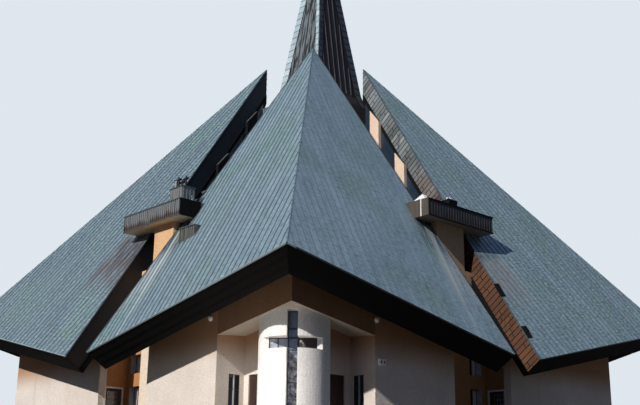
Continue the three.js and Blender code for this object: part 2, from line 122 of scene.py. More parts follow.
# Along the eave, up the slope and off the roof; down the verge, in from its upper edge and out of it.
ROOF = Axes(TIP, EAVE, UPHILL, NORMAL)
EDGE = Axes(APEX, VERGE, VERGE_IN, VERGE_OUT)

# Along the front wing's right wall, up and out; the same on the short wall that ends the side wing.
WALL = Axes(CORNER, ALONG, UP, -INWARD)
SIDE_WALL = Axes(carried(CORNER + ALONG * WALL_LEN), carried(INWARD), UP, carried(ALONG))

# Out of the front right gap, across it to the side wing, and up.
GAP = Axes((0, 0, 0), GAP_OUT, GAP_ACROSS, UP)


# Meshes.
def add(name, data):
    item = bpy.data.objects.new(name, data)
    SCENE.collection.objects.link(item)
    return item


class Build:
    """Faces of one piece, with a material number, a plan place and a tone for each."""

    def __init__(self, turn=0, mirror=False):
        self.points, self.faces, self.rows = [], [], []
        self.turn, self.mirror = turn, mirror

    def face(self, corners, material=0, plan=None, tone=0.5):
        first = len(self.points)
        self.points += [placed(p, self.turn, self.mirror) for p in corners]
        order = list(range(first, first + len(corners)))
        plan = list(plan or [(0, 0)] * len(corners))
        if self.mirror:
            order.reverse()
            plan.reverse()
        self.faces.append(order)
        self.rows.append((material, plan, tone))

    def prism(self, low, high, material=0):
        """A closed body between two loops that run anticlockwise seen from the high one."""
        count = len(low)
        self.face(list(reversed(low)), material)
        self.face(high, material)
        for k in range(count):
            n = (k + 1) % count
            self.face([low[k], low[n], high[n], high[k]], material)

    def bar(self, a, b, side, up, material=0):
        """A beam from a to b whose section is spanned by the vectors side and up, on its base."""
        loop = [-side / 2, side / 2, side / 2 + up, -side / 2 + up]
        if (b - a).dot(side.cross(up)) < 0:
            loop.reverse()
        self.prism([a + p for p in loop], [b + p for p in loop], material)

    def block(self, corner, a, b, c, material=0):
        """A box with one corner given and three edges."""
        loop = [corner, corner + a, corner + a + b, corner + b]
        if a.cross(b).dot(c) < 0:
            loop.reverse()
        self.prism(loop, [p + c for p in loop], material)

    def frame(self, corner, a, b, out, bar, material=0):
        """Four bars inside a flat rectangle; out is how far and where they stand proud."""
        across, rise = a.normalized() * bar, b.normalized() * bar
        inner = a - across * 2
        self.block(corner, across, b, out, material)
        self.block(corner + a, -across, b, out, material)
        self.block(corner + across, inner, rise, out, material)
        self.block(corner + across + b, inner, -rise, out, material)

    def tube(self, a, b, radius, material=0, sides=12, end_radius=None):
        """A round bar from a to b, tapered where end_radius is given."""
        along = (b - a).normalized()
        side = along.orthogonal().normalized()
        other = along.cross(side)
        turns = [k * math.tau / sides for k in range(sides)]
        ring = [side * math.cos(turn) + other * math.sin(turn) for turn in turns]
        end = radius if end_radius is None else end_radius
        self.prism([a + p * radius for p in ring], [b + p * end for p in ring], material)

    def piece(self, name, materials, body="church"):
        """The finished mesh, which rides on a body of the CAD model."""
        mesh = bpy.data.meshes.new(name)
        mesh.from_pydata(self.points, [], self.faces)
        plan = mesh.uv_layers.new(name="plan")
        tone = mesh.attributes.new("tone", "FLOAT", "FACE")
        for polygon, (material, places, value) in zip(mesh.polygons, self.rows):
            polygon.material_index = material
            tone.data[polygon.index].value = value
            for loop, place in zip(polygon.loop_indices, places):
                plan.data[loop].uv = place
        for material in materials:
            mesh.materials.append(material)
        mesh.validate()
        item = add(name, mesh)
        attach(item, body)


def clipped(polygon, keep):
    """The part of a flat polygon where keep, a linear function of a point, isn't negative."""
    out = []
    for k, p in enumerate(polygon):
        q = polygon[(k + 1) % len(polygon)]
        a, b = keep(p), keep(q)
        if a >= 0:
            out.append(p)
        if (a < 0) != (b < 0):
            share = a / (a - b)
            out.append(tuple(p[i] + (q[i] - p[i]) * share for i in range(2)))
    return out


# Materials.
class Shade:
    """A principled material and the few kinds of node that the patterns need."""

    def __init__(self, name, roughness=0.7, metallic=0.0, specular=0.5):
        self.material = bpy.data.materials.new(name)
        self.material.use_nodes = True
        self.nodes = self.material.node_tree.nodes
        self.links = self.material.node_tree.links
        self.shader = self.nodes["Principled BSDF"]
        self.shader.inputs["Roughness"].default_value = roughness
        self.shader.inputs["Metallic"].default_value = metallic
        self.shader.inputs["Specular IOR Level"].default_value = specular

    def link(self, value, socket):
        if isinstance(value, bpy.types.NodeSocket):
            self.links.new(value, socket)
        else:
            socket.default_value = value

    def place(self, scale=(1, 1, 1), plan=False):
        """Object places, or the plan's distances, scaled."""
        kind = "ShaderNodeUVMap" if plan else "ShaderNodeNewGeometry"
        source = self.nodes.new(kind)
        if plan:
            source.uv_map = "plan"
        mapping = self.nodes.new("ShaderNodeMapping")
        mapping.inputs["Scale"].default_value = scale
        self.links.new(source.outputs["UV" if plan else "Position"], mapping.inputs["Vector"])
        return mapping.outputs[0]

    def split(self, vector):
        node = self.nodes.new("ShaderNodeSeparateXYZ")
        self.links.new(vector, node.inputs[0])
        return node.outputs

    def axis(self, letter):
        """X, Y or Z of a place on the building."""
        return self.split(self.place())[letter]

    def noise(self, scale, detail=3, stretch=(1, 1, 1), plan=False, roughness=0.55):
        node = self.nodes.new("ShaderNodeTexNoise")
        self.links.new(self.place(stretch, plan), node.inputs["Vector"])
        node.inputs["Scale"].default_value = scale
        node.inputs["Detail"].default_value = detail
        node.inputs["Roughness"].default_value = roughness
        return node.outputs["Fac"]

    def math(self, kind, a, b=0.0):
        node = self.nodes.new("ShaderNodeMath")
        node.operation = kind
        self.link(a, node.inputs[0])
        self.link(b, node.inputs[1])
        return node.outputs[0]

    def product(self, *values):
        result = values[0]
        for value in values[1:]:
            result = self.math("MULTIPLY", result, value)
        return result

    def lanes(self, value, width):
        """0 in the middle of each lane of a width, and 0.5 on its edges."""
        share = self.math("FRACT", self.math("DIVIDE", value, width))
        return self.math("ABSOLUTE", self.math("SUBTRACT", share, 0.5))

    def swayed(self, value, noise, reach):
        """A value that a noise moves up and down."""
        return self.math("ADD", value, self.product(self.math("SUBTRACT", noise, 0.5), reach))

    def span(self, value, low, high, to_low=0.0, to_high=1.0):
        node = self.nodes.new("ShaderNodeMapRange")
        node.interpolation_type = "SMOOTHSTEP"
        for key, v in (("Value", value), ("From Min", low), ("From Max", high),
                       ("To Min", to_low), ("To Max", to_high)):
            self.link(v, node.inputs[key])
        return node.outputs[0]

    def mix(self, share, a, b):
        node = self.nodes.new("ShaderNodeMix")
        node.data_type = "RGBA"
        self.link(share, node.inputs["Factor"])
        for value, key in ((a, "A"), (b, "B")):
            socket = next(s for s in node.inputs if s.name == key and s.type == "RGBA")
            self.link(tuned(value) if isinstance(value, tuple) else value, socket)
        return next(s for s in node.outputs if s.type == "RGBA")

    def blend(self, value, low, high, first, second):
        """The first colour, which turns to the second where a value goes from low to high."""
        return self.mix(self.span(value, low, high), first, second)

    def cover(self, base, value, low, high, share, colour):
        """The base with a share of a colour over it where a value goes from low to high."""
        return self.mix(self.span(value, low, high, 0, share), base, colour)

    def tone(self):
        node = self.nodes.new("ShaderNodeAttribute")
        node.attribute_name = "tone"
        return node.outputs["Fac"]

    def feed(self, key, value):
        self.links.new(value, self.shader.inputs[key])

    def finished(self, colour, height, strength, depth):
        """The material in a colour, with a relief that follows a height."""
        self.feed("Base Color", colour)
        node = self.nodes.new("ShaderNodeBump")
        node.inputs["Strength"].default_value = strength
        node.inputs["Distance"].default_value = depth
        self.links.new(height, node.inputs["Height"])
        self.feed("Normal", node.outputs[0])
        return self.material

    def grained(self, colour, scale, strength, depth, detail=3):
        """The material in a colour, with an even grain."""
        return self.finished(colour, self.noise(scale, detail), strength, depth)


def tuned(colour):
    """A colour given as 0 to 255 on screen, as the linear value that the nodes use."""
    linear = []
    for v in colour:
        c = v / 255
        linear.append(c / 12.92 if c <= 0.04045 else ((c + 0.055) / 1.055) ** 2.4)
    return (*linear, 1.0)


def scaled(colour, share):
    return tuple(int(v * share) for v in colour)


def stain_mask(s, e, slope, box):
    """1 inside a patch's two edges along the eave and two up the slope, and 0 well outside."""
    e0, e1, s0, s1 = box
    return s.product(
        s.span(e, e0 - 0.5, e0 + 0.3), s.span(e, e1 + 0.5, e1 - 0.3),
        s.span(slope, s0 - 1.0, s0 + 1.2), s.span(slope, s1 + 0.3, s1 - 0.3),
    )


def streak_mask(s, e, slope):
    """The pale run-off below a gap's pier, which fades towards the eave."""
    middle, half, soft = 10.68, 0.34, 0.04
    line = s.span(s.math("ABSOLUTE", s.math("SUBTRACT", e, middle)), half, soft)
    return s.product(line, s.span(slope, 7.6, 6.8), s.span(slope, 0.2, 4.5, 0.3, 1.0))


def roof_sheet(name, streak, patches):
    """Weathered blue-grey sheet, with pale run-off in a line and pale, brown and near-black patches in
    given places.
    """
    s = Shade(name, 0.5)
    e, slope = s.split(s.place(plan=True))[:2]
    # The faces' tone carries each plane's painted sheen.
    base = s.mix(s.tone(), (84, 100, 110), (140, 164, 176))
    cloud = s.noise(1.0, 4, (0.3, 0.3, 0.3))
    drift = s.noise(1.6, 4, (2.4, 0.2, 1), plan=True)
    speck = s.noise(9.0, 3, (1, 0.7, 1), plan=True, roughness=0.6)
    weave = s.noise(4.2, 3, (0.8, 2.2, 1), plan=True, roughness=0.6)
    layers = [
        (cloud, 0.45, 0.7, 0.6, (98, 130, 120)),
        (drift, 0.50, 0.72, 0.4, (80, 93, 101)),
        (speck, 0.55, 0.72, 0.45, (146, 162, 168)),
        (speck, 0.42, 0.30, 0.45, (70, 82, 92)),
        (weave, 0.53, 0.66, 0.65, (154, 174, 174)),
        (weave, 0.47, 0.34, 0.65, (62, 78, 84)),
        # darker next to each seam, partly dirt and partly painted shade in the crease
        (s.lanes(e, PAN), 0.40, 0.5, 0.3, (62, 72, 80)),
    ]
    for layer in layers:
        base = s.cover(base, *layer)
    drips = s.noise(1.5, 5, (3.0, 0.35, 1), plan=True, roughness=0.6)
    patch = s.noise(1.6, 4, (0.8, 0.8, 1), plan=True)
    mottled = s.product(s.span(drips, 0.34, 0.56), s.span(patch, 0.30, 0.55, 0.35, 1.0))
    for *box, share, colour in patches:
        base = s.mix(s.product(stain_mask(s, e, slope, box), mottled, share), base, colour)
    if streak:
        base = s.mix(s.product(streak_mask(s, e, slope), streak), base, (184, 192, 190))
    s.feed("Roughness", s.span(cloud, 0.3, 0.7, 0.42, 0.58))
    return s.finished(base, s.noise(5.0, 3, (1, 0.6, 1), plan=True), 0.3, 0.02)


def seam_metal(name, low, high):
    s = Shade(name, 0.5)
    return s.grained(s.mix(s.noise(2.2, 4), low, high), 30.0, 0.2, 0.004, 2)


def shaded_verge():
    """Sheet painted near black as shade, for the verges that face away from the sun: blue-black high up
    and brown-black low down.
    """
    s = Shade("shaded_verge", 0.6, specular=0.3)
    brown_end, blue_start = 6.0, 13.0
    cloud = s.noise(0.8, 4)
    base = s.blend(s.axis("Z"), brown_end, blue_start, (46, 38, 34), (32, 46, 60))
    return s.grained(s.mix(s.tone(), base, s.mix(cloud, (36, 34, 42), (30, 42, 54))), 6.0, 0.25, 0.015)


def verge_sheet():
    """Brown oxide low down that turns to pale grey towards the peak."""
    s = Shade("verge_sheet", 0.55)
    brown_end, grey_start, sway = 10.5, 15.5, 3.0
    cloud = s.noise(0.9, 4)
    brown = s.mix(s.tone(), (74, 48, 34), (104, 70, 50))
    grey = s.mix(s.tone(), (78, 86, 88), (146, 154, 158))
    base = s.blend(s.swayed(s.axis("Z"), cloud, sway), brown_end, grey_start, brown, grey)
    drip = s.noise(1.5, 4, (3, 3, 0.4))
    return s.grained(s.cover(base, drip, 0.5, 0.75, 0.6, (50, 38, 32)), 6.0, 0.25, 0.015)


def shaded_half(s):
    """1 right of the spire's axis, where shade is painted on the spire's faces that lie in shade, and with
    them on the band sheet's eave strips on that side.
    """
    return s.span(s.axis("X"), SPIRE_X, SPIRE_X + 0.04)


def spire_band():
    """Pale blue-grey sheets on the edges of the spire, with a few browned ones; right of the axis they are
    painted dark as shade.
    """
    s = Shade("spire_band", 0.5)
    cloud = s.noise(1.1, 4, (1, 1, 0.6))
    base = s.mix(s.tone(), (144, 162, 172), (186, 202, 210))
    base = s.cover(base, cloud, 0.52, 0.75, 0.5, (140, 140, 130))
    shaded = s.mix(s.tone(), (34, 42, 52), (62, 70, 80))
    return s.grained(s.mix(shaded_half(s), base, shaded), 6.0, 0.2, 0.01)


def spire_infill():
    """Streaked sheets between the fins of the spire; right of the axis they are painted dark as shade."""
    s = Shade("spire_infill", 0.6, specular=0.4)
    streak = s.noise(1.6, 3, (4.5, 4.5, 0.05), roughness=0.5)
    lit = s.blend(streak, 0.42, 0.54, (26, 31, 34), (104, 115, 120))
    shaded = s.blend(streak, 0.38, 0.62, (24, 20, 22), (40, 36, 38))
    return s.finished(s.mix(shaded_half(s), lit, shaded), streak, 0.25, 0.015)


def dark_sheet():
    s = Shade("dark_sheet", 0.8, specular=0.15)
    return s.grained(s.mix(s.noise(0.7, 4), (9, 9, 11), (18, 17, 18)), 8.0, 0.2, 0.01)


def soffit_board():
    """Nearly black boards with a line between each two; their near black is partly their own colour and
    partly painted shade.
    """
    s = Shade("soffit_board", 0.8, specular=0.2)
    board = 0.16
    lane = s.lanes(s.axis("Z"), board)
    base = s.mix(s.noise(1.2, 4, (1, 1, 4)), (13, 12, 12), (24, 21, 20))
    return s.finished(s.cover(base, lane, 0.44, 0.5, 0.8, (8, 8, 8)), s.span(lane, 0.5, 0.42), 0.5, 0.01)


def weathered_rib(name, low, high, under):
    """Ribbed cladding of the canopies, in two tones by height, and their rendered underside."""
    s = Shade(name, 0.55)
    height, foot = s.axis("Z"), CANOPY["low"]
    cloud = s.noise(2.5, 4, (1, 1, 0.3))
    base = s.blend(s.swayed(height, cloud, 0.9), foot + 0.12, foot + 0.42, low, high)
    streak = s.noise(1.8, 4, (4, 4, 0.3))
    base = s.cover(base, streak, 0.5, 0.7, 0.6, scaled(low, 0.6))
    underside = s.mix(cloud, scaled(under, 0.88), under)
    return s.grained(s.blend(height, foot + 0.02, foot + 0.005, base, underside), 9.0, 0.2, 0.008)


def old_sheet(name, low, high):
    """Ribbed or plain sheet with faint upright runs."""
    s = Shade(name, 0.6, specular=0.4)
    runs = s.noise(2.0, 4, (4, 4, 0.5))
    return s.grained(s.blend(runs, 0.35, 0.65, low, high), 9.0, 0.2, 0.008)


def rough_render(name, low, high, painted_eave_shade=None, upper=None, inner=None, deck=None):
    """Coarse render, with a browner tone under the eave painted as shade, and other tones high up, right
    of the left gap's windows and on what faces upward."""
    s = Shade(name, 0.95, specular=0.2)
    upper_start, upper_full, inner_x = 6.6, 7.4, -7.82
    grain = s.noise(22.0, 5, roughness=0.65)
    cloud = s.noise(0.35, 4)
    base = s.blend(cloud, 0.3, 0.7, low, high)
    height = s.axis("Z")
    if inner:
        base = s.blend(s.axis("X"), inner_x, inner_x + 0.02, base, inner)
    if upper:
        base = s.blend(height, upper_start, upper_full, base, upper)
    base = s.mix(s.span(grain, 0.34, 0.54, 0.4, 0), base, scaled(low, 0.7))
    drip = s.noise(1.0, 4, (2.2, 2.2, 0.12))
    base = s.cover(base, drip, 0.55, 0.8, 0.2, scaled(low, 0.8))
    splash = s.math("ADD", height, s.product(cloud, 0.5))
    base = s.cover(base, splash, 0.7, 0.2, 0.35, (112, 104, 92))
    # A browner tone under the eave, painted as shade.
    if painted_eave_shade:
        base = s.cover(base, height, 2.5, 3.9, 0.9, painted_eave_shade)
    if deck:
        facing = s.split(s.nodes.new("ShaderNodeNewGeometry").outputs["Normal"])["Z"]
        base = s.blend(facing, 0.3, 0.4, base, s.mix(drip, deck, scaled(deck, 1.4)))
    coarse = s.math("ADD", grain, s.product(s.noise(6.0, 3), 0.8))
    return s.finished(base, coarse, 0.7, 0.025)


def glazing():
    """Dark glass with a faint blue bloom."""
    s = Shade("dark_glass", 0.08, specular=0.8)
    cloud = s.noise(0.8, 3)
    s.feed("Base Color", s.mix(cloud, (20, 28, 40), (52, 66, 84)))
    s.feed("Roughness", s.span(cloud, 0.3, 0.7, 0.05, 0.14))
    return s.material


def leaded_glass():
    """Plain blue-grey panes above and in the arms, small mixed panes in a net of lead below."""
    s = Shade("leaded_glass", 0.15, specular=0.7)
    arm_foot, bar_side, soft = 2.91, 0.20, 0.02
    cells = s.nodes.new("ShaderNodeTexVoronoi")
    cells.feature = "DISTANCE_TO_EDGE"
    cells.inputs["Scale"].default_value = 9.0
    s.links.new(s.place((1, 0.2, 0.7)), cells.inputs["Vector"])
    edge = cells.outputs["Distance"]
    tone = s.noise(5.0, 2, (1, 0.2, 1))
    x, _, height = s.split(s.place())
    low = s.blend(tone, 0.35, 0.65, (84, 92, 110), (172, 172, 182))
    low = s.blend(edge, 0.05, 0.02, low, (54, 56, 64))
    brush = s.noise(1.5, 3, (9, 1, 1))
    plain = s.mix(brush, (88, 104, 134), (124, 140, 166))
    left_arm = s.mix(brush, (140, 152, 172), (186, 192, 200))
    right_arm = s.mix(brush, (44, 36, 36), (74, 64, 62))
    plain = s.blend(x, -bar_side, -bar_side - soft, plain, left_arm)
    plain = s.blend(x, bar_side, bar_side + soft, plain, right_arm)
    base = s.blend(height, arm_foot, arm_foot + soft, low, plain)
    return s.finished(base, s.span(edge, 0.02, 0.08), 0.4, 0.01)


def stained_wood():
    s = Shade("stained_wood", 0.6)
    grain = s.noise(2.5, 5, (9, 9, 0.6), roughness=0.6)
    return s.finished(s.blend(grain, 0.3, 0.7, (34, 20, 17), (70, 44, 36)), grain, 0.3, 0.004)


def plain_coat(name, low, high, roughness=0.5, metallic=0.0, scale=6.0):
    """A paint or metal with faint mottling."""
    s = Shade(name, roughness, metallic)
    cloud = s.noise(scale, 4)
    return s.grained(s.blend(cloud, 0.3, 0.7, low, high), scale * 6, 0.12, 0.003, 2)


BROWN, UMBER, ASH = (96, 70, 54), (36, 31, 32), (172, 172, 170)
FRONT_SHEET = roof_sheet("front_roof_sheet", 0.6, [
    (10.3, 12.2, 2.6, 5.6, 0.55, ASH), (9.9, 11.3, 5.6, 8.4, 1.0, UMBER)])
RIGHT_SHEET = roof_sheet("right_roof_sheet", 0.0, [
    (9.9, 12.4, 3.6, 6.4, 0.8, UMBER), (9.6, 11.8, 3.4, 6.0, 0.5, ASH)])
BACK_SHEET = roof_sheet("back_roof_sheet", 0.4, [(11.0, 12.6, 4.4, 7.4, 0.6, UMBER)])
LEFT_SHEET = roof_sheet("left_roof_sheet", 0.0, [
    (8.9, 11.8, 4.2, 7.4, 0.75, BROWN), (9.4, 11.6, 5.4, 7.4, 0.6, UMBER)])
# Each roof plane's tone, partly the sheet's own and partly painted sheen: the planes that the sun only
# grazes are painted lighter.
PLANE_TONE_AND_SHEEN = {
    (0, False): 0.72, (0, True): 0.55, (1, False): 0.6, (1, True): 0.54,
    (2, False): 0.5, (2, True): 0.6, (3, False): 0.33, (3, True): 0.4,
}
# Planes in shade, whose seams stand lower and take a paler copy of the seam metal, as painted light.
SHADED_PLANES = [(0, False), (1, False), (2, True)]
SEAM = seam_metal("seam_metal", (56, 66, 74), (80, 92, 100))
SEAM_PAINTED_LIGHT = seam_metal("pale_seam_metal_painted_light", (84, 98, 108), (106, 120, 130))
VERGE_SHEET = verge_sheet()
VERGE_SHADE = shaded_verge()
DARK = dark_sheet()
SOFFIT = soffit_board()
RIB = weathered_rib("ribbed_cladding", (78, 63, 54), (118, 122, 124), (240, 214, 178))
# A copy of the canopy cladding painted darker as shade, front and underside, for the right canopy.
RIB_PAINTED_SHADE = weathered_rib("ribbed_cladding_painted_shade", (46, 38, 38), (52, 54, 60), (140, 128, 118))
HATCH = old_sheet("hatch_sheet", (70, 68, 64), (104, 104, 100))
CANOPY_END = old_sheet("canopy_end_sheet", (68, 61, 55), (82, 74, 66))
FIN = old_sheet("fin_sheet", (56, 54, 58), (78, 76, 80))
# A near-black copy of the pier render, painted as shade for the left gap's roof, whose upward faces are
# dark grey.
PIER_PAINTED_SHADE = rough_render("pier_painted_as_shade", (10, 12, 16), (17, 19, 24), deck=(58, 60, 62))
BAND = spire_band()
INFILL = spire_infill()
# The cream render, with a browner tone under the eave painted as shade.
RENDER = rough_render("cream_render", (208, 199, 190), (226, 216, 208), painted_eave_shade=(164, 120, 84))
# A darker copy of the ochre render, painted as shade for the gaps in less light; the front left gap has
# the lit copy below.
RECESS_PAINTED_SHADE = rough_render("ochre_render_painted_shade", (150, 108, 70), (166, 122, 82), upper=(176, 150, 122))
RECESS_LEFT = rough_render(
    "ochre_and_cream_render", (172, 118, 72), (188, 134, 86), upper=(222, 182, 140), inner=(228, 212, 194))
LINTEL = rough_render("shaded_render", (136, 104, 80), (154, 120, 94))
PIER = rough_render("pale_render", (224, 198, 176), (236, 212, 192), deck=(58, 60, 62))
WHITE = rough_render("white_render", (232, 230, 228), (244, 242, 240))
CEILING = rough_render("porch_ceiling_render", (206, 192, 176), (220, 206, 192))
GLASS = glazing()
LEADED = leaded_glass()
WOOD = stained_wood()
LAMP = plain_coat("lamp_glass", (240, 240, 236), (250, 250, 248), 0.3)
PAINT = plain_coat("white_paint", (206, 206, 204), (226, 226, 224), 0.4)
GREY = plain_coat("grey_panel", (176, 176, 180), (198, 198, 202), 0.5)
LATTICE = plain_coat("pale_lattice", (140, 130, 116), (162, 152, 138), 0.5)
CONCRETE = plain_coat("floor_concrete", (132, 130, 124), (156, 152, 146), 0.85, scale=1.5)
STEEL = plain_coat("dull_steel", (120, 122, 124), (156, 158, 160), 0.4, 0.8)
BLACK = plain_coat("black_coat", (18, 18, 20), (30, 30, 32), 0.5, 0.2)


def dress(material, *patterns, names=("",)):
    """Gives a material to the pieces of the CAD model that the patterns name."""
    for node in [pattern.format(name) for pattern in patterns for name in names]:
        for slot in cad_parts[node].material_slots:
            slot.material = material


dress(SOFFIT, "{}_wing_roof", names=WINGS)
dress(RENDER, "{}_wing_wall_right", "{}_wing_wall_left", names=WINGS)
# All gaps' walls take the ochre render painted darker as shade; the front left one then takes its own lit
# render.
dress(RECESS_PAINTED_SHADE, "{}_gap_wall", names=GAPS)
dress(RECESS_LEFT, "front_left_gap_wall")
dress(GLASS, "{}_gap_window", "{}_gap_glazing", names=GAPS)
dress(PIER, "{}_gap_roof", names=GAPS)
# The left gap's roof takes the pier render painted near black as shade.
dress(PIER_PAINTED_SHADE, "front_left_gap_roof")
dress(RIB, "{}_canopy", names=GAPS)
dress(RIB, "chimney")
dress(RIB_PAINTED_SHADE, "front_right_canopy")
dress(HATCH, "roof_hatch")
dress(DARK, "canopy_vent")
dress(INFILL, "spire", "spire_foot")
dress(STEEL, "spire_cross")
dress(WOOD, "porch_door_{}", "front_{}_side_door", names=SIDES)
dress(RENDER, "porch_wall_{}", names=SIDES)
dress(GLASS, "porch_window_{}", names=SIDES)
dress(LINTEL, "porch_lintel_{}", names=SIDES)
dress(CEILING, "porch_ceiling")
dress(WHITE, "porch_drum")
dress(LEADED, "cross_window")
dress(CONCRETE, "floor_slab")


# Roof wings.
def in_roof(polygon, inset):
    """The part of a polygon of eave and uphill distances that lies on the right half."""
    hip = math.hypot(PEAK_E, PEAK_S)
    run = EAVE_LEN - PEAK_E
    far = math.hypot(run, PEAK_S)
    left = clipped(polygon, lambda p: (p[0] * PEAK_S - p[1] * PEAK_E) / hip - inset)
    if len(left) < 3:
        return []
    return clipped(left, lambda p: ((EAVE_LEN - p[0]) * PEAK_S - p[1] * run) / far - inset)


def some_tone(middle, spread):
    return min(1, max(0, random.gauss(middle, spread)))


def add_sheet(build, polygon, start, tone):
    """One sheet, which lies highest at its lower end, and the edge that shows there."""
    lift = [SHEET_LIFT - SHEET_FALL * (s - start) / SHEET_LEN for _, s in polygon]
    build.face([ROOF.at(e, s, h) for (e, s), h in zip(polygon, lift)], 0, polygon, tone)
    foot = max(start, 0)
    low = sorted((e, s) for e, s in polygon if abs(s - foot) < 1e-6)
    if len(low) == 2:
        (ea, sa), (eb, sb) = low
        edge = [ROOF.at(ea, sa), ROOF.at(eb, sb), ROOF.at(eb, sb, SHEET_LIFT), ROOF.at(ea, sa, SHEET_LIFT)]
        build.face(edge, 1, tone=tone)


def add_pan(build, e0, e1):
    """The lapped sheets of one strip between two seams."""
    s0 = -random.uniform(0.4, 2.6)
    # The plane's tone, with its painted sheen, and a little spread.
    own = PLANE_TONE_AND_SHEEN[build.turn, build.mirror] + random.gauss(0, 0.05)
    while s0 < PEAK_S:
        s1 = s0 + SHEET_LEN
        foot = max(s0, 0)
        polygon = in_roof([(e0, foot), (e1, foot), (e1, s1), (e0, s1)], 0.01)
        if len(polygon) >= 3:
            add_sheet(build, polygon, s0, some_tone(own, 0.06))
        s0 = s1


def add_seam(build, e):
    """A standing seam from the eave up to the hip or to the verge."""
    top = PEAK_S * min(e / PEAK_E, (EAVE_LEN - e) / (EAVE_LEN - PEAK_E)) - 0.05
    if top > 0.2:
        shaded = (build.turn, build.mirror) in SHADED_PLANES
        # On a plane in shade the seam is lower and painted paler, as painted light.
        tall, material = (0.015, 3) if shaded else (0.026, 1)
        build.bar(ROOF.at(e, 0.01), ROOF.at(e, top), EAVE * 0.024, NORMAL * tall, material)


def hip_cover(build):
    """A flat strip along the hip, with a row of clips across it."""
    hip = (APEX - TIP).normalized()
    side = Vector((1, 0, 0))
    over = side.cross(hip)
    strip, thick, clip, clips, step = 0.04, 0.014, 0.07, 58, 0.38
    build.bar(TIP + hip * 0.12, APEX - hip * 0.06, side * strip, over * thick, 0)
    for k in range(clips):
        foot = TIP + hip * (0.3 + k * step) + over * 0.012
        build.block(foot - side * (clip / 2), side * clip, hip * 0.03, over * 0.012, 1)


def roof_skin(turn, name, sheet):
    """The sheets and seams of one wing's two planes, with strips along its edges."""
    skin = Build(turn)
    for mirror in (False, True):
        skin.mirror = mirror
        for k in range(int(EAVE_LEN / PAN) + 1):
            add_pan(skin, k * PAN, (k + 1) * PAN)
            add_seam(skin, k * PAN)
        eave = ROOF.at(0.06, -0.012, -0.05), ROOF.at(EAVE_LEN - 0.02, -0.012, -0.05)
        skin.bar(*eave, UPHILL * 0.02, NORMAL * 0.07, 2)
        verge = EDGE.at(0.1, 0.02), EDGE.at(VERGE_LEN - 0.02, 0.02)
        skin.bar(*verge, VERGE_OUT * 0.05, VERGE_IN * -0.05, 1)
    skin.mirror = False
    hip_cover(skin)
    skin.piece(f"{name}_roof_skin", [sheet, SEAM, BAND, SEAM_PAINTED_LIGHT])


def verge_polygon(v0, v1, q0, q1):
    """A strip of the verge, cut by the upright end at the peak."""
    return clipped([(v0, q0), (v1, q0), (v1, q1), (v0, q1)], lambda p: p[0] - p[1] * PEAK_SLANT - 0.05)


def verge_sheets(build):
    """The lapped sheets of one verge; dark seams and short laps show on the lit side only, and the other
    side takes the sheet painted near black as shade.
    """
    lit, seam, lap, lap_share = build.mirror, 0.028, 0.024, 0.45
    for k in range(int(VERGE_LEN / VERGE_STEP) + 1):
        v0, v1 = k * VERGE_STEP, min((k + 1) * VERGE_STEP, VERGE_LEN)
        polygon = verge_polygon(v0, v1, 0.0, VERGE_FACE)
        if len(polygon) < 3:
            continue
        lift = [0.022 - 0.012 * (v - v0) / VERGE_STEP for v, _ in polygon]
        points = [EDGE.at(v, q, h) for (v, q), h in zip(polygon, lift)]
        build.face(points, 0 if lit else 2, polygon, some_tone(0.5, 0.22))
        if k and lit:
            low = min(VERGE_FACE, v0 / PEAK_SLANT)
            build.bar(EDGE.at(v0, 0.0), EDGE.at(v0, low), VERGE * seam, VERGE_OUT * 0.034, 1)
        if lit and v0 > 1.6 and random.random() < lap_share:
            q = random.uniform(0.2, 0.65)
            build.bar(EDGE.at(v0, q), EDGE.at(v1, q), VERGE_IN * lap, VERGE_OUT * 0.03, 1)


def verge_cladding(turn, name):
    """Cross-seamed sheets along both verges, with a dark lip under them."""
    build = Build(turn)
    for mirror in (False, True):
        build.mirror = mirror
        verge_sheets(build)
        lip = verge_polygon(0, VERGE_LEN, VERGE_FACE, ROOF_T)
        build.face([EDGE.at(v, q, 0.05) for v, q in lip], 1)
        for q, start, proud in ((VERGE_FACE, 1.45, 0.06), (ROOF_T - 0.015, 1.85, 0.05)):
            build.bar(EDGE.at(start, q), EDGE.at(VERGE_LEN, q), VERGE_IN * 0.03, VERGE_OUT * proud, 1)
    build.piece(f"{name}_verge_cladding", [VERGE_SHEET, DARK, VERGE_SHADE])


def eave_board(build, e0, e1, top, low):
    """One board, cut to the roof's mitre beside the hip, and the narrow edge under it."""
    upper, lower = (max(e0, -z * EAVE_MITRE) for z in (top, low))
    corners = [ROOF.at(upper, -0.004, top), ROOF.at(e1, -0.004, top),
               ROOF.at(e1, -0.02, low), ROOF.at(lower, -0.02, low)]
    build.face(corners)
    build.face([corners[3], corners[2], corners[2] + UPHILL * 0.02, corners[3] + UPHILL * 0.02])


def eave_cladding(turn, name):
    """Three lapped dark boards on the square-cut eave, with their butt joints; their near black is partly
    their own colour and partly painted shade.
    """
    build = Build(turn)
    rows, lengths, cover = 3, 7, 0.05
    tall, length = (ROOF_T - 0.06) / rows, EAVE_LEN / lengths
    for mirror in (False, True):
        build.mirror = mirror
        for row in range(rows):
            top = -cover - row * tall
            for k in range(lengths):
                eave_board(build, 0.04 + k * length, (k + 1) * length - 0.008, top, top - tall)
    build.piece(f"{name}_eave_cladding", [DARK])


def roof_covers():
    """Two small dark covers by the front verge of the right wing."""
    places = [
        [(11.93, 4.42), (11.54, 4.42), (11.77, 3.67), (12.14, 3.67)],
        [(12.51, 1.84), (12.10, 1.82), (12.29, 1.18), (12.65, 1.20)],
    ]
    build = Build(1, True)
    for corners in places:
        low = [ROOF.at(e, s, 0.005) for e, s in corners]
        high = [ROOF.at(e, s, 0.05) for e, s in corners]
        build.prism(low, high)
    build.piece("roof_covers", [DARK])


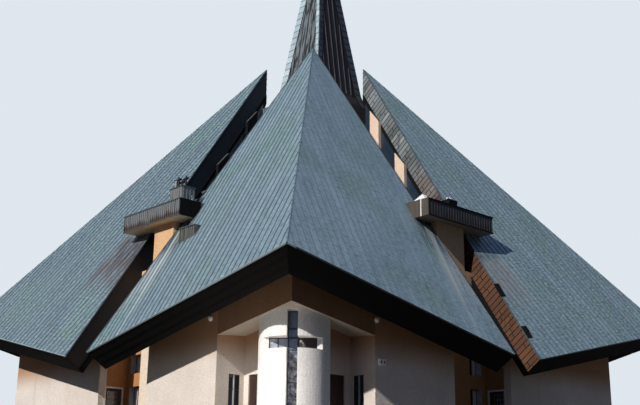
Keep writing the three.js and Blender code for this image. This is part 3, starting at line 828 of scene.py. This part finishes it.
# Spire.
def spire_radius(z):
    """How far the spire's corners lie from its axis at a height."""
    for (r0, z0), (r1, z1) in zip(SPIRE, SPIRE[1:]):
        if z <= z1:
            return r0 + (r1 - r0) * (z - z0) / (z1 - z0)
    return SPIRE[-1][0]


def spire_edge(z):
    """Half the width of a face at a height, which is also how far it lies from the axis."""
    return spire_radius(z) / math.sqrt(2)


def on_spire(face, w, z, lift=0.0):
    """A place w to the right of the middle of one face, seen from outside it."""
    turn = math.radians(face * 90 - 45)
    out = Vector((math.sin(turn), -math.cos(turn), 0))
    side = Vector((math.cos(turn), math.sin(turn), 0))
    return out * (spire_edge(z) + lift) + side * w + Vector((SPIRE_X, 0, z))


def spire_bands(face):
    """The side and the width of each edge band on one face of the spire."""
    wide, narrow = 0.50, 0.24
    left, right = (wide, narrow) if face in (0, 2) else (narrow, wide)
    return (-1, left), (1, right)


def band_sheet(build, face, band, z0, z1):
    """One sheet of an edge band, with the dark edges at its foot and on its inner side."""
    sign, wide = band
    outer = [spire_edge(z) - 0.01 for z in (z0, z1)]
    inner = [max(0.0, w - wide) for w in outer]
    proud = 0.045
    (i0, i1), (o0, o1) = inner, outer
    sheet = [(i0, z0, proud), (o0, z0, proud), (o1, z1, proud - 0.01), (i1, z1, proud - 0.01)]
    foot = [(i0, z0, 0.0), (o0, z0, 0.0), (o0, z0, 0.06), (i0, z0, 0.06)]
    side = [(i0, z0, 0.0), (i0, z0, 0.05), (i1, z1, 0.05), (i1, z1, 0.0)]
    tone = some_tone(0.5, 0.22)
    for loop, material in ((sheet, 0), (foot, 1), (side, 1)):
        points = [on_spire(face, sign * w, z, lift) for w, z, lift in loop]
        build.face(points if sign > 0 else points[::-1], material, tone=tone)


def spire_cladding():
    """Seamed bands on the edges of each face and upright fins between them."""
    step, top = 0.41, 32.0
    levels = [19.05]
    while levels[-1] < top:
        levels.append(min(top, levels[-1] + step))
    for face in range(4):
        build = Build()
        bands = spire_bands(face)
        for z0, z1 in zip(levels, levels[1:]):
            for band in bands:
                band_sheet(build, face, band, z0, z1)
        fin_lines(build, face, bands)
        build.piece(f"spire_cladding_{face}", [BAND, DARK, FIN])


def fin_lines(build, face, bands):
    """Fins that run up one face until they meet its bands."""
    (_, left), (_, right) = bands
    count, step, shift, foot, gap = 7, 0.4, 0.1, 19.7, 0.06
    middle = on_spire(face, 0, foot)
    out = on_spire(face, 0, foot, 0.045) - middle
    side = on_spire(face, 0.035, foot) - middle
    for k in range(-count, count + 1):
        w = k * step + shift
        room = abs(w) + (left if w < 0 else right) + gap
        if room > spire_edge(foot):
            continue
        top = foot
        while top < 31.5 and spire_edge(top + 0.1) > room:
            top += 0.1
        stops = [foot, min(top, SPIRE_KNEE)] + ([top] if top > SPIRE_KNEE else [])
        for z0, z1 in zip(stops, stops[1:]):
            if z1 - z0 > 0.05:
                build.bar(on_spire(face, w, z0), on_spire(face, w, z1), side, out, 2)


# Canopies, with what stands on them.
def canopy_cladding(name):
    """Ribs on the front and the ends of a canopy, and trims along its edges."""
    build = Build(*GAP_PLACES[name])
    half, low, high, out = CANOPY.values()
    trim, rib, end = 0.05, 0.04, 1.2
    tall = high - low - 2 * trim
    # The right canopy, in shade, takes the cladding painted darker as shade.
    dark = name == "front_right"
    count, proud = (25, 0.016) if dark else (29, 0.04)
    step = (2 * half - 0.1) / (count - 1)
    for k in range(count):
        GAP.box(build, (out, -half + 0.05 + k * step - rib / 2, low + trim), (proud, rib, tall))
    for side in (-1, 1):
        for k in range(4):
            GAP.box(build, (out - 0.1 - k * 0.3, side * half, low + trim), (-0.07, side * 0.035, tall))
    for z in (low, high - trim):
        GAP.box(build, (out, -half - 0.02, z), (0.045, 2 * half + 0.04, trim), 1)
        for side in (-1, 1):
            GAP.box(build, (out - end, side * half, z), (end + 0.02, side * 0.04, trim), 1)
    sheet, edge = (RIB_PAINTED_SHADE, DARK) if dark else (RIB, SEAM)
    build.piece(f"{name}_canopy_cladding", [sheet, edge])


def canopy_end_plates():
    """Plates on the canopies' ends, with a pale strip and a white wedge on the right canopy; the left
    canopy's plates are painted near black as shade.
    """
    build = Build()
    face, low = -CANOPY["half"], CANOPY["low"] + 0.01
    tall = CANOPY["high"] - CANOPY["low"] - 0.02
    for g, wide in ((8.75, 0.715), (9.48, 0.715), (10.27, 0.425)):
        GAP.box(build, (g, face, low), (wide, -0.045, tall), 0)
    GAP.box(build, (10.21, face, low), (0.06, -0.06, tall), 1)
    profile = [(9.70, 10.885), (10.46, 10.885), (10.27, 11.13)]
    build.prism(*([GAP.at(g, face + reach, z) for g, z in profile] for reach in (0.02, 0.27)), 2)
    build.mirror = True
    # The left canopy's end plates, near black as painted shade.
    for g, wide in ((9.48, 0.58), (10.08, 0.6)):
        GAP.box(build, (g, face, low), (wide, -0.045, tall), 3)
    build.piece("canopy_end_plates", [CANOPY_END, PAINT, WHITE, DARK])


def cowl(build, g, h, foot, tall):
    """A post with a round crossbar and a stub on top."""
    top, reach = foot + tall, 0.17
    GAP.tube(build, (g, h, foot), (0, 0, tall), 0.055, 2)
    GAP.tube(build, (g, h - reach, top), (0, 2 * reach, 0), 0.06, 2)
    GAP.tube(build, (g, h, top + 0.04), (0, 0, 0.12), 0.03, 2)


def chimney_top():
    """Ribs, cap and cowls of the chimney on the left canopy."""
    build = Build(0, True)
    g0, g1, h0, h1, low, high = 9.55, 10.30, -2.0, -1.0, 10.88, 11.62
    tall, rib, edge, cap = (high - low) * 0.96, 0.05, 0.04, 0.05
    for k in range(6):
        GAP.box(build, (g1, h0 + 0.015 + k * 0.184, low + 0.01), (rib / 2, rib, tall))
    for k in range(4):
        for h, proud in ((h1, rib / 2), (h0, -rib / 2)):
            GAP.box(build, (g0 + 0.05 + k * 0.2, h, low + 0.01), (rib, proud, tall))
    GAP.box(build, (g0 - edge, h0 - edge, high), (g1 - g0 + 2 * edge, h1 - h0 + 2 * edge, cap), 1)
    top, pipe = high + cap, 0.42
    for g, h, post in ((9.98, -1.82, 0.42), (9.92, -1.42, 0.34), (9.85, -1.02, 0.58)):
        cowl(build, g, h, top, post)
    GAP.tube(build, (10.12, -1.2, top), (0, 0, pipe), 0.085, 3)
    GAP.tube(build, (10.12, -1.2, top + pipe), (0, 0, 0.08), 0.12, 3, end_radius=0.02)
    build.piece("chimney_cowls", [RIB, SEAM, BLACK, STEEL])


def vent_cap():
    """Dark lid, small ribs and pale cowl of the vent on the right canopy."""
    build = Build()
    GAP.box(build, (9.70, -0.35, 11.33), (0.52, 0.64, 0.03))
    for k in range(4):
        GAP.box(build, (10.2, -0.3 + k * 0.17, 10.9), (0.02, 0.05, 0.42))
    GAP.tube(build, (9.95, -0.03, 11.36), (0, 0, 0.1), 0.05, 1)
    GAP.tube(build, (9.95, -0.19, 11.48), (0, 0.32, 0), 0.045, 1)
    build.piece("vent_lid", [DARK, PAINT])


def roof_fixtures():
    """A short mast and a spout by the left gap."""
    build = Build()
    foot, top = Vector((-5.38, -8.62, 9.72)), Vector((-5.38, -8.62, 11.07))
    build.tube(foot, top, 0.035)
    build.tube(top, top + UP * 0.07, 0.05)
    spout = Vector((-4.86, -7.02, 11.86))
    elbow = spout + Vector((-0.16, -0.10, -0.02))
    build.tube(spout, elbow, 0.05)
    build.tube(elbow, elbow + Vector((-0.14, -0.06, -0.10)), 0.045)
    build.piece("roof_mast", [STEEL])


def hatch_front():
    """Ribs and rim of the roof hatch."""
    left, right, top = Vector((-5.69, -9.70, 0)), Vector((-4.85, -10.52, 0)), 9.23
    span, count, rib, rim = (right - left).length, 8, 0.05, 0.05
    across = (right - left).normalized()
    out = Vector((across.y, -across.x, 0))
    build = Build()
    for k in range(count):
        foot = left + across * (0.05 + k * (span - 0.1) / (count - 1) - rib / 2)
        low = roof_height(foot) + 0.02
        build.block(foot + UP * low, across * rib, out * 0.03, UP * (top - low - 0.04))
    build.block(left + UP * (top - rim), across * span, out * rim, UP * rim, 1)
    build.piece("hatch_ribs", [HATCH, SEAM])


def roof_height(p):
    """The height of the front wing's left plane over a place."""
    q = Vector((-p.x, p.y, 0))
    return TIP.z - (NORMAL.x * (q.x - TIP.x) + NORMAL.y * (q.y - TIP.y)) / NORMAL.z


# Windows and doors. A leaf's boards start BOARD_U from its hinge and stand BOARD_T proud of it.
BOARD_U = 0.09
BOARD_T = 0.009


def gap_windows(name):
    """Pale reveal, dark frame and post, and pale panel of the two windows in a gap's wall."""
    build = Build(*GAP_PLACES[name])
    h0, h1, deep, bar = 0.88, 1.70, GAP_FACE - 0.33, 0.035
    for z0, z1 in ((2.96, 3.85), (0.90, 2.34)):
        tall = z1 - z0
        GAP.box(build, (deep, h1, z0), (0.335, -0.02, tall), 1)
        build.frame(GAP.at(deep + 0.01, h0, z0), GAP_ACROSS * (h1 - h0), UP * tall, GAP_OUT * 0.06, bar)
        GAP.box(build, (deep + 0.01, 1.27, z0), (0.09, 0.05, tall))
        GAP.box(build, (deep + 0.01, 1.4, z0 + bar), (0.04, 0.26, tall - 2 * bar), 1)
    build.piece(f"{name}_window_frames", [WOOD, GREY])


def door_casing(side, mirror):
    """White casing round a side door."""
    build = Build(0, mirror)
    n0, n1, top, bar, proud = 0.4, 1.24, 2.24, 0.08, 0.018
    SIDE_WALL.box(build, (n0, 0), (-bar, top, proud))
    SIDE_WALL.box(build, (n1, 0), (bar, top, proud))
    SIDE_WALL.box(build, (n0 - bar, top), (n1 - n0 + 2 * bar, bar, proud))
    build.piece(f"front_{side}_door_casing", [PAINT])


def side_leaf(side, mirror):
    """Boards below, and a lattice of small panes above, on a side door."""
    leaf = Axes((8.8138, -5.9171, 0), (0.7356, -0.6774, 0), UP, (-0.6774, -0.7356, 0))
    build = Build(0, mirror)
    for k in range(6):
        leaf.box(build, (BOARD_U + k * 0.118, 0.06), (0.108, 0.98, BOARD_T))
    u, z, wide, tall, bar = 0.24, 1.14, 0.5, 0.96, 0.022
    leaf.box(build, (u, z, 0.001), (wide, tall, 0.003), 2)
    for col in range(4):
        leaf.box(build, (u + col * 0.16, z, 0.002), (bar, tall, 0.008), 1)
    for row in range(5):
        leaf.box(build, (u + bar, z + row * 0.235, 0.002), (0.458, bar, 0.006), 1)
    reach, up, out = leaf.ways
    build.frame(leaf.at(BOARD_U, 1.1), reach * 0.7, up * 1.04, out * BOARD_T, 0.035)
    lever(build, leaf, 0.75, 3)
    name = f"front_{side}_side_door"
    build.piece(f"{name}_dress", [WOOD, LATTICE, GLASS, STEEL], name)


def lever(build, leaf, u, material):
    """A handle with its plate."""
    z, proud, radius = 1.07, 0.055, 0.01
    leaf.box(build, (u - 0.02, 0.95, BOARD_T), (0.04, 0.2, 0.006), material)
    leaf.tube(build, (u, z, 0.01), (0, 0, proud - 0.01), radius, material, sides=8)
    leaf.tube(build, (u + 0.01, z, proud), (-0.13, 0, 0), radius, material, sides=8)


def porch_leaf(side, mirror):
    """Upright boards, rails and handle of a porch door."""
    leaf = Axes((1.9639, -11.9566, 0), (-0.7356, -0.6774, 0), UP, (0.6774, -0.7356, 0))
    build = Build(0, mirror)
    for k in range(8):
        leaf.box(build, (BOARD_U + k * 0.101, 0.05), (0.093, 2.14, BOARD_T))
    for z in (0.05, 1.28, 2.09):
        leaf.box(build, (BOARD_U, z, BOARD_T), (0.8, 0.1, 0.006))
    lever(build, leaf, 0.85, 1)
    build.piece(f"porch_{side}_door_dress", [WOOD, STEEL], f"porch_door_{side}")


def porch_trim(side, mirror):
    """Glass, dark frame, pale mullion and transom of a porch window."""
    build = Build(0, mirror)
    t, n0, n1, z0, z1, bar = 4.494, 0.70, 1.28, 0.30, 2.23, 0.05
    wide, tall, middle = n1 - n0, z1 - z0, (n0 + n1) / 2
    build.frame(WALL.at(t, z0, -n0), INWARD * wide, UP * tall, ALONG * -bar, 0.035)
    WALL.box(build, (t, z0, -n0), (0.02, tall, -wide), 2)
    WALL.box(build, (t, z0, bar / 2 - middle), (-bar, tall, -bar), 1)
    WALL.box(build, (t, z0 + 1.3, -n0), (-0.04, 0.04, -wide))
    build.piece(f"porch_{side}_window_frame", [BLACK, GREY, GLASS])


def lintel_underside():
    """Pale render under both lintels, level with the porch ceiling."""
    build = Build()
    depth, length = 0.385, 4.443
    mitre = depth * math.tan(WALL_TURN)
    plan = [(0.0, 0.0), (length, 0.0), (length, depth), (mitre, depth)]
    heights = [4.64 - 0.1924 * t + 0.0779 * n for t, n in plan]
    for mirror in (False, True):
        build.mirror = mirror
        build.prism(*(
            [WALL.at(t, z + lift, -n) for (t, n), z in zip(plan, heights)] for lift in (-0.012, -0.001)
        ))
    build.piece("lintel_underside", [CEILING])


# Porch drum and fixtures.
def cross_frame():
    """Dark frame bars and transoms over the cross window."""
    build = Build()
    face = Axes((0, -14.668, 0), (1, 0, 0), UP, (0, -1, 0))
    half, arm, bar, proud = 0.2147, 0.9567, 0.034, 0.03
    foot, low, high, top = 0.3303, 2.9153, 3.3817, 4.4497
    for x in (-half, half - bar):
        for z0, z1 in ((foot, low), (high, top)):
            face.box(build, (x, z0), (bar, z1 - z0, proud))
    for side in (-1, 1):
        for z in (low, high - bar):
            face.box(build, (side * half, z), (side * (arm - half), bar, proud))
        for x in (half - bar, 0.58, arm - bar):
            face.box(build, (side * x, 2.95), (side * bar, 0.396, proud))
    for z in (foot, 1.6, 2.89, 3.36, 3.72, 4.415):
        face.box(build, (bar - half, z), (2 * (half - bar), bar * 0.8, proud))
    build.piece("cross_window_frame", [BLACK])


def wall_lamp(build, t, z):
    """A round lamp on its base plate."""
    WALL.tube(build, (t, z, 0), (0, 0, 0.05), 0.12, sides=20)
    WALL.tube(build, (t, z, 0.05), (0, 0, 0.07), 0.11, sides=20, end_radius=0.07)


def wall_fixtures():
    """A round lamp on each side, and a double box right of the porch."""
    build = Build()
    wall_lamp(build, 4.53, 4.43)
    build.mirror = True
    wall_lamp(build, 4.92, 4.50)
    build.mirror = False
    for t in (4.60, 4.78):
        WALL.box(build, (t, 2.57), (0.16, 0.26, 0.12))
        WALL.box(build, (t + 0.05, 2.65, 0.12), (0.06, 0.1, 0.01), 1)
    build.piece("wall_fixtures", [LAMP, BLACK])


SHEETS = [FRONT_SHEET, RIGHT_SHEET, BACK_SHEET, LEFT_SHEET]
for number, wing in enumerate(WINGS):
    roof_skin(number, wing, SHEETS[number])
    verge_cladding(number, wing)
    eave_cladding(number, wing)
roof_covers()
spire_cladding()
for gap in GAPS:
    canopy_cladding(gap)
    gap_windows(gap)
canopy_end_plates()
chimney_top()
vent_cap()
roof_fixtures()
hatch_front()
for side, flip in zip(SIDES, (False, True)):
    door_casing(side, flip)
    side_leaf(side, flip)
    porch_leaf(side, flip)
    porch_trim(side, flip)
lintel_underside()
cross_frame()
wall_fixtures()


# Camera, light and floor.
PHOTO_W, PHOTO_H = 640, 405
FOCAL_PX = 995.2
CENTRE_PX = 203.8
SENSOR_MM = 36
CAMERA_AT = Vector((2.595, -53.9, -2.86))
CAMERA_TURN = (-2.335, 16.715, 0.714)
SUN_FROM = (-0.4978, -0.6979, 0.5150)
BACK_FROM = (0.25, 0.9, 0.36)


def camera():
    """The photograph's camera, from its place, its turn and its focal length in pixels."""
    yaw, pitch, roll = (math.radians(a) for a in CAMERA_TURN)
    ahead = Vector((math.sin(yaw) * math.cos(pitch), math.cos(yaw) * math.cos(pitch), math.sin(pitch)))
    flat = Vector((math.cos(yaw), -math.sin(yaw), 0))
    over = flat.cross(ahead)
    right = flat * math.cos(roll) + over * math.sin(roll)
    up = over * math.cos(roll) - flat * math.sin(roll)
    data = bpy.data.cameras.new("camera")
    data.sensor_width = SENSOR_MM
    data.lens = FOCAL_PX / PHOTO_W * SENSOR_MM
    data.shift_y = (CENTRE_PX - PHOTO_H / 2) / PHOTO_W
    data.clip_end = 500
    item = add("camera", data)
    turn = Matrix((right, up, -ahead)).transposed()
    item.matrix_world = Matrix.Translation(CAMERA_AT) @ turn.to_4x4()
    SCENE.camera = item


def lamp(name, kind, energy, colour, source):
    """A lamp whose light comes from a direction."""
    data = bpy.data.lights.new(name, kind)
    data.energy = energy
    data.color = colour
    item = add(name, data)
    item.rotation_mode = "QUATERNION"
    item.rotation_quaternion = Vector(source).to_track_quat("Z", "Y")
    return item


def light():
    """The photograph's sun, a soft light from behind for the sides that it doesn't show, and the sky."""
    lamp("key", "SUN", 4.1, (1.0, 0.96, 0.9), SUN_FROM).data.angle = math.radians(1.0)
    lamp("back_fill", "SUN", 3.4, (0.86, 0.93, 1.0), BACK_FROM).data.angle = math.radians(25)
    bounce()
    world = bpy.data.worlds.new("studio")
    SCENE.world = world
    world.use_nodes = True
    sky(world.node_tree.nodes, world.node_tree.links)
    SCENE.view_settings.view_transform = "Standard"


def bounce():
    """Light from the sunny paving in front of the porch."""
    item = lamp("paving_bounce", "AREA", 150, (1.0, 0.93, 0.84), (-0.25, -0.6, -0.76))
    item.data.shape = "RECTANGLE"
    item.data.size, item.data.size_y = 4.0, 1.6
    item.location = (-2.2, -17.2, 0.05)
    item.visible_camera = False


def sky(nodes, links):
    """Soft light that is bluer and stronger overhead, and a plain pale backdrop."""
    place = nodes.new("ShaderNodeTexCoord")
    axes = nodes.new("ShaderNodeSeparateXYZ")
    links.new(place.outputs["Generated"], axes.inputs[0])
    ramp = nodes.new("ShaderNodeValToRGB")
    stops = ramp.color_ramp.elements
    stops[0].color = (0.05, 0.06, 0.08, 1)
    stops[1].color = (0.22, 0.32, 0.56, 1)
    stops.new(0.5).color = (0.08, 0.115, 0.20, 1)
    links.new(axes.outputs["Z"], ramp.inputs[0])
    fill = nodes["Background"]
    links.new(ramp.outputs[0], fill.inputs["Color"])
    seen = nodes.new("ShaderNodeBackground")
    seen.inputs["Color"].default_value = (0.78, 0.84, 0.90, 1)
    seen.inputs["Strength"].default_value = 0.95
    path = nodes.new("ShaderNodeLightPath")
    mix = nodes.new("ShaderNodeMixShader")
    links.new(path.outputs["Is Camera Ray"], mix.inputs[0])
    links.new(fill.outputs[0], mix.inputs[1])
    links.new(seen.outputs[0], mix.inputs[2])
    links.new(mix.outputs[0], nodes["World Output"].inputs[0])


def floor():
    """A level floor whose front falls away below the camera's sight lines."""
    near, front, back, half = -46.0, -20.4, 60.0, 60
    drop, level = -3.6, -0.002
    mesh = bpy.data.meshes.new("ground")
    rows = [(near, drop), (front, level), (back, level)]
    points = [(x, y, z) for y, z in rows for x in (-half, half)]
    mesh.from_pydata(points, [], [(0, 1, 3, 2), (2, 3, 5, 4)])
    s = Shade("pale_floor", 0.95, specular=0.1)
    cloud = s.noise(0.3, 3)
    path = s.nodes.new("ShaderNodeLightPath")
    pale = s.mix(cloud, (192, 188, 180), (206, 202, 196))
    s.feed("Base Color", s.mix(path.outputs["Is Camera Ray"], (92, 88, 82), pale))
    mesh.materials.append(s.material)
    add("ground", mesh)


camera()
light()
floor()
